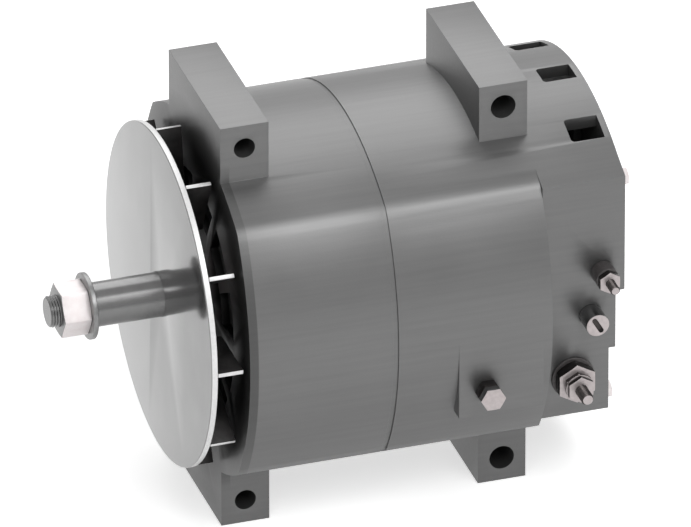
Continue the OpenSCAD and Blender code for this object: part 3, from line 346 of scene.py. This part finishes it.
# Screws inside the frames, and the spacer behind the fan. Rolled or turned steel, zinc plated: the screws
# sit in tapped holes, and the spacer is clamped on the shaft.
def grained(name, low, high, scale, metallic, least_rough, most_rough):
    made, tree, shader = new_material(name)
    place = add_node(tree, "TexCoord").outputs["Object"]
    # The grain's size in metres is one over its scale.
    grain = add_node(tree, "TexNoise", {"Vector": place, "Scale": scale, "Detail": 3.0})
    tone = add_node(tree, "ValToRGB", {"Fac": grain.outputs[0]})
    tone.color_ramp.elements[0].position, tone.color_ramp.elements[1].position = 0.3, 0.7
    tone.color_ramp.elements[0].color, tone.color_ramp.elements[1].color = colour(low), colour(high)
    rough = add_node(tree, "MapRange",
                     {"Value": grain.outputs[0], "To Min": least_rough, "To Max": most_rough})
    shader.inputs["Metallic"].default_value = metallic
    tree.links.new(tone.outputs[0], shader.inputs["Base Color"])
    tree.links.new(rough.outputs[0], shader.inputs["Roughness"])
    return made


# Rolled steel, zinc plated: near-white with a pink cast and a soft satin grain of about 4 mm.
plated_steel = grained("steel_zinc_plated", "#F3EAEA", "#FCF6F6", 240.0, 0.15, 0.34, 0.46)
finish_node(plated_steel, "retainer_screws", "sink_screws", "brush_holder_screws", "strap_screw",
            "fan_spacer")


# Shaft. Turned from bar: the bare end that carries a pulley, a rolled thread for its nut, and ground seats
# behind for the bearings and the poles, which are pressed on.
def put(obj, at, direction):
    standing = Vector((0, 0, 1)).rotation_difference(Vector(direction)).to_matrix().to_4x4()
    only(obj)
    obj.matrix_world = Matrix.Translation(Vector(at)) @ standing
    bpy.ops.object.transform_apply(location=True, rotation=True, scale=True)
    return obj


def weld(obj):
    only(obj)
    bpy.ops.object.mode_set(mode="EDIT")
    bpy.ops.mesh.select_all(action="SELECT")
    bpy.ops.mesh.remove_doubles(threshold=2 * same_point)
    bpy.ops.object.mode_set(mode="OBJECT")
    return obj


# One tooth's profile is carried round by the screw modifier, a turn or more too long at each end. The thread
# is then cut square at both ends and pointed with a chamfer.
def threaded_rod(radius, length, pitch, chamfer):
    depth = pitch * 0.5
    flank, crest, root = 0.4 * pitch, 0.15 * pitch, 0.05 * pitch
    spare_turns, overrun = 3, pitch / 3
    bpy.ops.object.select_all(action="DESELECT")
    bpy.ops.mesh.primitive_plane_add(size=0.001, location=(0, 0, 0))
    rod = bpy.context.object
    bpy.ops.object.mode_set(mode="EDIT")
    bpy.ops.mesh.select_all(action="SELECT")
    bpy.ops.mesh.merge(type="CENTER")
    bpy.ops.transform.translate(value=(radius - depth, 0, -pitch))
    for step_out, step_up in ((depth, flank), (0, crest), (-depth, flank), (0, root)):
        bpy.ops.mesh.extrude_region_move(TRANSFORM_OT_translate={"value": (step_out, 0, step_up)})
    bpy.ops.object.mode_set(mode="OBJECT")
    apply_modifier(rod, "SCREW", angle=2 * math.pi, screw_offset=pitch,
                   iterations=math.ceil(length / pitch) + spare_turns, steps=28, render_steps=28, axis="Z",
                   use_merge_vertices=True, merge_threshold=same_point)
    bpy.ops.object.mode_set(mode="EDIT")
    bpy.ops.mesh.select_all(action="SELECT")
    bpy.ops.mesh.remove_doubles(threshold=same_point)
    bpy.ops.mesh.bisect(plane_co=(0, 0, -overrun), plane_no=(0, 0, 1), use_fill=True, clear_inner=True)
    bpy.ops.mesh.select_all(action="SELECT")
    bpy.ops.mesh.bisect(plane_co=(0, 0, length + overrun), plane_no=(0, 0, 1), use_fill=True,
                        clear_outer=True)
    bpy.ops.mesh.select_all(action="SELECT")
    bpy.ops.mesh.normals_make_consistent(inside=False)
    bpy.ops.object.mode_set(mode="OBJECT")
    bpy.ops.mesh.primitive_cone_add(vertices=48, radius1=radius - chamfer + length, radius2=radius - chamfer,
                                    depth=length, location=(0, 0, length / 2))
    point = bpy.context.object
    apply_modifier(rod, "BOOLEAN", operation="INTERSECT", object=point, solver="EXACT")
    bpy.data.objects.remove(point)
    return weld(rod)


# The thread starts at this station on the shaft, where the bare end stops.
shoulder_x = -0.0354
shaft_thread_r = 0.0079375
forward = (-1, 0, 0)
turned = dressed_copy("shaft", 0.0003)
only(turned)
bpy.ops.object.mode_set(mode="EDIT")
bpy.ops.mesh.select_all(action="SELECT")
bpy.ops.mesh.bisect(plane_co=(shoulder_x, 0, 0), plane_no=(1, 0, 0), use_fill=True, clear_inner=True)
bpy.ops.object.mode_set(mode="OBJECT")
thread = put(threaded_rod(shaft_thread_r, length=0.0215, pitch=0.00141, chamfer=0.0009),
             (shoulder_x, 0, 0), forward)

# Turned bar steel, oiled: dark grey and smooth, so that it shows one long highlight.
turned_steel = grained("steel_turned", "#6C6C6C", "#707070", 250.0, 0.9, 0.23, 0.25)
settle(join(turned, thread), "shaft_turned", "rotor", turned_steel, "shaft")


# Fan. A flat disc blanked from plate, with straight blades welded square to its back. It is clamped on the
# shaft, and its blades draw air through the frames.
def disc(radius, length, bore, rounding, sides=128):
    bpy.ops.object.select_all(action="DESELECT")
    bpy.ops.mesh.primitive_cylinder_add(vertices=sides, radius=radius, depth=length,
                                        location=(0, 0, length / 2))
    made = bpy.context.object
    bpy.ops.object.transform_apply(location=True, rotation=True, scale=True)
    bpy.ops.mesh.primitive_cylinder_add(vertices=64, radius=bore, depth=length * 2,
                                        location=(0, 0, length / 2))
    hole = bpy.context.object
    apply_modifier(made, "BOOLEAN", operation="DIFFERENCE", object=hole, solver="EXACT")
    bpy.data.objects.remove(hole)
    return apply_modifier(made, "BEVEL", width=rounding, segments=4, limit_method="ANGLE",
                          angle_limit=math.radians(40))


def refinish(obj, material, chosen):
    obj.data.materials.append(material)
    last = len(obj.data.materials) - 1
    for face in obj.data.polygons:
        if chosen(face):
            face.material_index = last


fan_r, fan_t = 0.0859, 0.0034
plate = put(disc(fan_r, fan_t, bore=0.0111325, rounding=0.0006, sides=192), (0, 0, 0), (1, 0, 0))

# Plated plate, rolled bright: its face mirrors the shaft and the floor softly, and its rim is painted paler
# as a highlight.
bright_plate = grained("steel_plate_bright", "#848484", "#8A8A8A", 60.0, 0.9, 0.11, 0.14)
settle(plate, "fan_plate", "rotor", bright_plate, "fan_disc")
# The rim takes the pale plated grey as a painted highlight.
refinish(plate, pressed_steel, lambda face: abs(face.normal.x) < 0.5)

# Hot-rolled sheet: the blades' sides are painted near black as shade, and their sheared edges painted bright
# as lit.
blade_shade_steel = grained("steel_blade_sides_painted_shade", "#1D1C1C", "#3C3A3A", 120.0, 0.4, 0.5, 0.6)
blade_len, blade_t, blade_in = 0.0127, 0.0022, 0.0500
blade_count, first_blade = 11, -90.55
blades = []
for number in range(blade_count):
    bpy.ops.object.select_all(action="DESELECT")
    bpy.ops.mesh.primitive_cube_add(size=1, location=(fan_t + blade_len / 2, 0, -(blade_in + fan_r) / 2),
                                    scale=(blade_len, blade_t, fan_r - blade_in))
    blade = bpy.context.object
    bpy.ops.object.transform_apply(location=True, rotation=True, scale=True)
    apply_modifier(blade, "BEVEL", width=0.0003, segments=2, limit_method="ANGLE",
                   angle_limit=math.radians(60))
    blade.data.transform(Matrix.Rotation(math.radians(first_blade - number * 360 / blade_count), 4, "X"))
    blades.append(blade)
settle(join(*blades), "fan_blades_cut", "rotor", blade_shade_steel, "fan_blades")
# The blades' ends and outer edges take the pale plated grey as a painted highlight.
refinish(blades[0], pressed_steel, lambda face: abs(face.normal.x) > 0.6 or
         face.normal.dot(Vector((0, face.center.y, face.center.z)).normalized()) > 0.6)


# Shaft washer and nut. The washer is blanked from hardened plate. The nut is forged, plated, and turned to a
# small chamfer inside its flats at both faces. It is there to clamp a pulley on the shaft's bare end.
def hex_block(across, height, turn, back, front, bore=0.0):
    corner, inner = across / math.sqrt(3), across * 0.485
    bpy.ops.object.select_all(action="DESELECT")
    bpy.ops.mesh.primitive_cylinder_add(vertices=6, radius=corner, depth=height, location=(0, 0, height / 2),
                                        rotation=(0, 0, math.radians(turn)))
    block = bpy.context.object
    bpy.ops.object.transform_apply(location=True, rotation=True, scale=True)
    for share, top in ((back, False), (front, True)):
        if not share:
            continue
        wide = inner + (corner - inner) * (height + share) / share
        centre = (height - share if top else height + share) / 2
        bpy.ops.mesh.primitive_cone_add(vertices=96, depth=height + share, location=(0, 0, centre),
                                        radius1=wide if top else inner, radius2=inner if top else wide)
        cone = bpy.context.object
        apply_modifier(block, "BOOLEAN", operation="INTERSECT", object=cone, solver="EXACT")
        bpy.data.objects.remove(cone)
        weld(block)
    apply_modifier(block, "BEVEL", width=0.00012, segments=2, limit_method="ANGLE",
                   angle_limit=math.radians(40))
    if bore:
        bpy.ops.mesh.primitive_cylinder_add(vertices=48, radius=bore, depth=height * 2,
                                            location=(0, 0, height / 2))
        hole = bpy.context.object
        apply_modifier(block, "BOOLEAN", operation="DIFFERENCE", object=hole, solver="EXACT")
        bpy.data.objects.remove(hole)
    return weld(block)


# Hardened washer steel: mid grey and satin, with a grain of about 2.5 mm.
washer_steel = grained("steel_hardened_washer", "#7D7D7D", "#8F8F8F", 400.0, 0.6, 0.3, 0.4)
fit = 0.00002
washer_t = 0.0025
washer = put(disc(0.01665, washer_t, bore=shaft_thread_r + fit, rounding=0.0004), (shoulder_x, 0, 0), forward)
settle(washer, "shaft_washer_plate", "rotor", washer_steel, "shaft_washer")
nut = put(hex_block(across=0.0238, height=0.0139, turn=0, back=0.0003, front=0.0003,
                    bore=shaft_thread_r + fit), (shoulder_x - washer_t, 0, 0), forward)
settle(nut, "shaft_nut_hex", "rotor", plated_steel, "shaft_nut")
# The nut's two end faces are painted in the darker washer grey as shade.
refinish(nut, washer_steel, lambda face: abs(face.normal.x) > 0.5)


# Output terminal. A blackened stud with a hex head inside the frame, in a moulded bush, held by a large nut,
# with a clamp nut of two hexes and a washer on it for the cable.

# Glass-filled moulding: dark grey rather than black, with a soft sheen on its round side.
grey_moulding = grained("polyester_moulded_grey", "#3C3939", "#4E4A4A", 700.0, 0.1, 0.35, 0.45)

# Blackened steel: near black, with a sharp bright streak where it curves. On the nuts' flanks, the ground
# lock nut and the floor of the adjuster's slot the same near black is painted shade.
dark_steel = grained("steel_blackened_and_painted_shade", "#2B2828", "#403C3B", 300.0, 0.9, 0.2, 0.3)

# Pale mid-grey steel for outward faces, painted lighter than the flanks as lit faces.
lit_face_steel = grained("steel_outward_faces_painted_light", "#A79F9F", "#B5ADAD", 500.0, 0.5, 0.35, 0.45)

def faces_out(face):
    return face.normal.y < -0.5


outward = (0, -1, 0)
output_x, output_z = 0.1893, -0.0410
output_r, output_end_y = 0.003175, -0.0900
output_head_y, output_stud_y, base_nut_y = -0.0595, -0.0654, -0.0727
base_nut_t, lower_t, between_t, upper_t = 0.0067, 0.0026, 0.0009, 0.0027
lower_y = base_nut_y - base_nut_t
between_y = lower_y - lower_t
upper_y = between_y - between_t
insulator = dressed_copy("output_insulator", 0.0003)
settle(insulator, "output_bush", "housing", grey_moulding, "output_insulator")
stud = put(threaded_rod(output_r, length=0.0300, pitch=0.00127, chamfer=0.0007),
           (output_x, output_stud_y, output_z), outward)
head = put(hex_block(across=0.0095, height=0.004, turn=0, back=0, front=0.0006),
           (output_x, output_head_y, output_z), outward)
settle(join(stud, head), "output_stud_threaded", "housing", dark_steel, "output_stud")
# The stud's outer end is painted pale as a lit face.
refinish(stud, lit_face_steel, lambda face: face.normal.y < -0.9 and face.center.y < output_end_y)
nut = put(hex_block(across=0.0182, height=base_nut_t, turn=0, back=0.0015, front=0.0003, bore=output_r + fit),
          (output_x, base_nut_y, output_z), outward)
settle(nut, "output_base_nut_hex", "housing", dark_steel, "output_base_nut")
# The nut's outward face is painted pale as lit, and its flanks stay near black as painted shade.
refinish(nut, lit_face_steel, faces_out)
lower = put(hex_block(across=0.0124, height=lower_t, turn=0, back=0, front=0.0003, bore=output_r + fit),
            (output_x, lower_y, output_z), outward)
between = put(disc(0.0070, between_t, bore=output_r + fit, rounding=0.0002, sides=64),
              (output_x, between_y, output_z), outward)
upper = put(hex_block(across=0.0124, height=upper_t, turn=0, back=0.0003, front=0.0003, bore=output_r + fit),
            (output_x, upper_y, output_z), outward)
clamp = join(lower, between, upper)
settle(clamp, "output_clamp_nut_hex", "housing", dark_steel, "output_clamp_nut")
# The clamp nut's outward faces are painted pale as lit, and its flanks stay near black as painted shade.
refinish(clamp, lit_face_steel, faces_out)


# Small terminal. A thin blackened stud with a round head inside the frame, in a tall moulded bush, with one
# nut on it for a signal wire.
def plain_rod(radius, length, chamfer):
    bpy.ops.object.select_all(action="DESELECT")
    bpy.ops.mesh.primitive_cylinder_add(vertices=48, radius=radius, depth=length, location=(0, 0, length / 2))
    rod = bpy.context.object
    bpy.ops.object.transform_apply(location=True, rotation=True, scale=True)
    return apply_modifier(rod, "BEVEL", width=chamfer, segments=2, limit_method="ANGLE",
                          angle_limit=math.radians(60))


small_x, small_z = 0.2042, 0.0158
small_r, small_end_y = 0.0024, -0.0850
small_head_y, small_stud_y, small_nut_y = -0.0630, -0.0657, -0.0805
insulator = dressed_copy("small_insulator", 0.0003)
settle(insulator, "small_bush", "housing", grey_moulding, "small_insulator")
stud = put(threaded_rod(small_r, length=0.0265, pitch=0.0008, chamfer=0.0005),
           (small_x, small_stud_y, small_z), outward)
head = put(plain_rod(0.0044, length=0.0025, chamfer=0.0003), (small_x, small_head_y, small_z), outward)
settle(join(stud, head), "small_stud_threaded", "housing", dark_steel, "small_stud")
# The stud's outer end is painted pale as a lit face.
refinish(stud, lit_face_steel, lambda face: face.normal.y < -0.9 and face.center.y < small_end_y)
nut = put(hex_block(across=0.0101, height=0.0037, turn=0, back=0.0003, front=0.0003, bore=small_r + fit),
          (small_x, small_nut_y, small_z), outward)
settle(nut, "small_nut_hex", "housing", dark_steel, "small_nut")
# The nut's outward face is painted pale as lit, and its flanks stay near black as painted shade.
refinish(nut, lit_face_steel, faces_out)


# Voltage adjuster. A turned round plug with a milled closed slot for a screwdriver. It turns in a bore of
# the terminal flat: its face is painted pale as lit, and the floor of its slot painted dark as shade.
plug = dressed_copy("voltage_adjuster", 0.00025)
settle(plug, "adjuster_plug", "adjuster", turned_steel, "voltage_adjuster")
plug_front = min(corner.co.y for corner in plug.data.vertices)
slot_y = plug_front + 0.0004
refinish(plug, lit_face_steel, lambda face: faces_out(face) and face.center.y < slot_y)
# The slot's floor is painted near black as shade.
refinish(plug, dark_steel, lambda face: faces_out(face) and face.center.y >= slot_y)


# Ground terminal. A forged hex bolt screwed into the cast pad, with a lock nut under its head painted near
# black as shade. The head's outer face is painted pale as lit, and its flats darker as painted shade.
ground_x, ground_z = 0.1399, -0.0304
ground_r = 0.00315
ground_tip_y, pad_y, lock_nut_t = -0.0816, -0.0883, 0.0062
# The lock nut's near black is painted shade under the bolt head.
nut = put(hex_block(across=0.0112, height=lock_nut_t, turn=30, back=0.0005, front=0, bore=ground_r + fit),
          (ground_x, pad_y, ground_z), outward)
settle(nut, "ground_lock_nut", "housing", dark_steel, "ground_nut")
bolt = put(hex_block(across=0.0112, height=0.004, turn=30, back=0, front=0.0003),
           (ground_x, pad_y - lock_nut_t, ground_z), outward)
shank = put(plain_rod(ground_r, length=0.0130, chamfer=0.0003), (ground_x, ground_tip_y, ground_z), outward)
settle(join(bolt, shank), "ground_bolt_hex", "housing", lit_face_steel, "ground_bolt")
# The head's flats and the shank take the darker turned steel as painted shade.
refinish(bolt, turned_steel, lambda face: face.normal.y > -0.5)


# Through bolts. Four long plated bolts clamp the frames together, their small hex heads standing on the rear
# face. The lower one on the terminal side stands on the lower step instead, a little higher up.
backward = (1, 0, 0)
bolt_out, bolt_r = 0.061, 0.0025
bolt_tip_x, rear_face_x = 0.0647, 0.2158
step_x, step_bolt_z = 0.2079, -0.0574
bolts = []
for side in (-1, 1):
    for level in (-1, 1):
        seat, up = (step_x, step_bolt_z) if side < 0 and level < 0 else (rear_face_x, level * bolt_out)
        bolts.append(put(hex_block(across=0.008, height=0.0042, turn=30, back=0, front=0.0001),
                         (seat, side * bolt_out, up), backward))
        bolts.append(put(plain_rod(bolt_r, length=seat - bolt_tip_x, chamfer=0.0003),
                         (bolt_tip_x, side * bolt_out, up), backward))
settle(join(*bolts), "through_bolts_hex", "housing", plated_steel, "through_bolts")


# Floor, lamps and camera. A plain white room: a broad lamp above lights the tops, a smaller one in front
# draws a soft line along the upper corner, one at the drive end lights the fan, and one over the floor
# lifts the side.
def seen_rays(tree):
    path = add_node(tree, "LightPath").outputs
    seen = add_node(tree, "Math", {0: path["Is Camera Ray"], 1: path["Is Glossy Ray"]}, operation="MAXIMUM")
    return add_node(tree, "Math", {0: seen.outputs[0], 1: path["Is Transmission Ray"]},
                    operation="MAXIMUM").outputs[0]


# White floor: it shows as plain white to the camera and in the metal, and still takes the object's shadow.
room_white, tree, shader = new_material("room_white")
lift = add_node(tree, "Math", {0: seen_rays(tree), 1: 0.62}, operation="MULTIPLY")
shader.inputs["Base Color"].default_value = colour("#EDEDED")
shader.inputs["Roughness"].default_value = 0.9
shader.inputs["Emission Color"].default_value = (1, 1, 1, 1)
tree.links.new(lift.outputs[0], shader.inputs["Emission Strength"])
floor_z = -0.1116
bpy.ops.object.select_all(action="DESELECT")
bpy.ops.mesh.primitive_plane_add(size=40, location=(0, 0, floor_z))
floor = bpy.context.object
floor.name = "floor"
floor.data.materials.append(room_white)

world = bpy.context.scene.world or bpy.data.worlds.new("room")
bpy.context.scene.world = world
world.use_nodes = True
tree = world.node_tree
back = tree.nodes["Background"]
back.inputs["Color"].default_value = (1, 1, 1, 1)
strength = add_node(tree, "MapRange", {"Value": seen_rays(tree), "To Min": 0.10, "To Max": 1.0})
tree.links.new(strength.outputs[0], back.inputs["Strength"])


def lamp(name, aim, direction, distance, size, power):
    at = Vector(aim) + Vector(direction).normalized() * distance
    bpy.ops.object.light_add(type="AREA", location=at)
    made = bpy.context.object
    made.name = name
    made.data.shape = "SQUARE"
    made.data.size, made.data.energy = size, power
    made.rotation_mode = "QUATERNION"
    made.rotation_quaternion = Vector(direction).to_track_quat("Z", "Y")


middle, floor_in_front = (0.08, 0, 0), (0.09, -0.50, floor_z)
lamp("lamp_above", middle, (0.12, 0.62, 0.78), distance=2.0, size=1.8, power=23)
lamp("lamp_front", middle, (0.24, -0.66, 0.71), distance=1.6, size=0.9, power=13)
lamp("lamp_drive_end", middle, (-0.45, -0.60, 0.66), distance=1.6, size=0.4, power=3.5)
lamp("lamp_floor", floor_in_front, (0, 0, 1), distance=0.03, size=0.8, power=0.5)

# The photograph's camera stands far off, 30 degrees up and turned 18 degrees towards the drive end. Its
# picture is 0.337 m wide where the object stands. The matrix's columns point right, up and back to it.
picture_width, lens, sensor = 0.33707, 1100, 36
aimed_at = Vector((0.0892, -0.0212, 0.0128))
away = Vector((-0.2676, -0.8236, 0.5))
bpy.ops.object.camera_add()
camera = bpy.context.object
camera.data.lens, camera.data.sensor_width = lens, sensor
camera.location = aimed_at + away * (picture_width * lens / sensor)
camera.rotation_mode = "QUATERNION"
camera.rotation_quaternion = Matrix(((0.9511, 0.1545, -0.2676), (-0.3090, 0.4755, -0.8236),
                                     (0, 0.8660, 0.5))).to_quaternion()
camera.data.clip_start, camera.data.clip_end = 1, 30
bpy.context.scene.camera = camera
bpy.context.scene.view_settings.view_transform = "Standard"
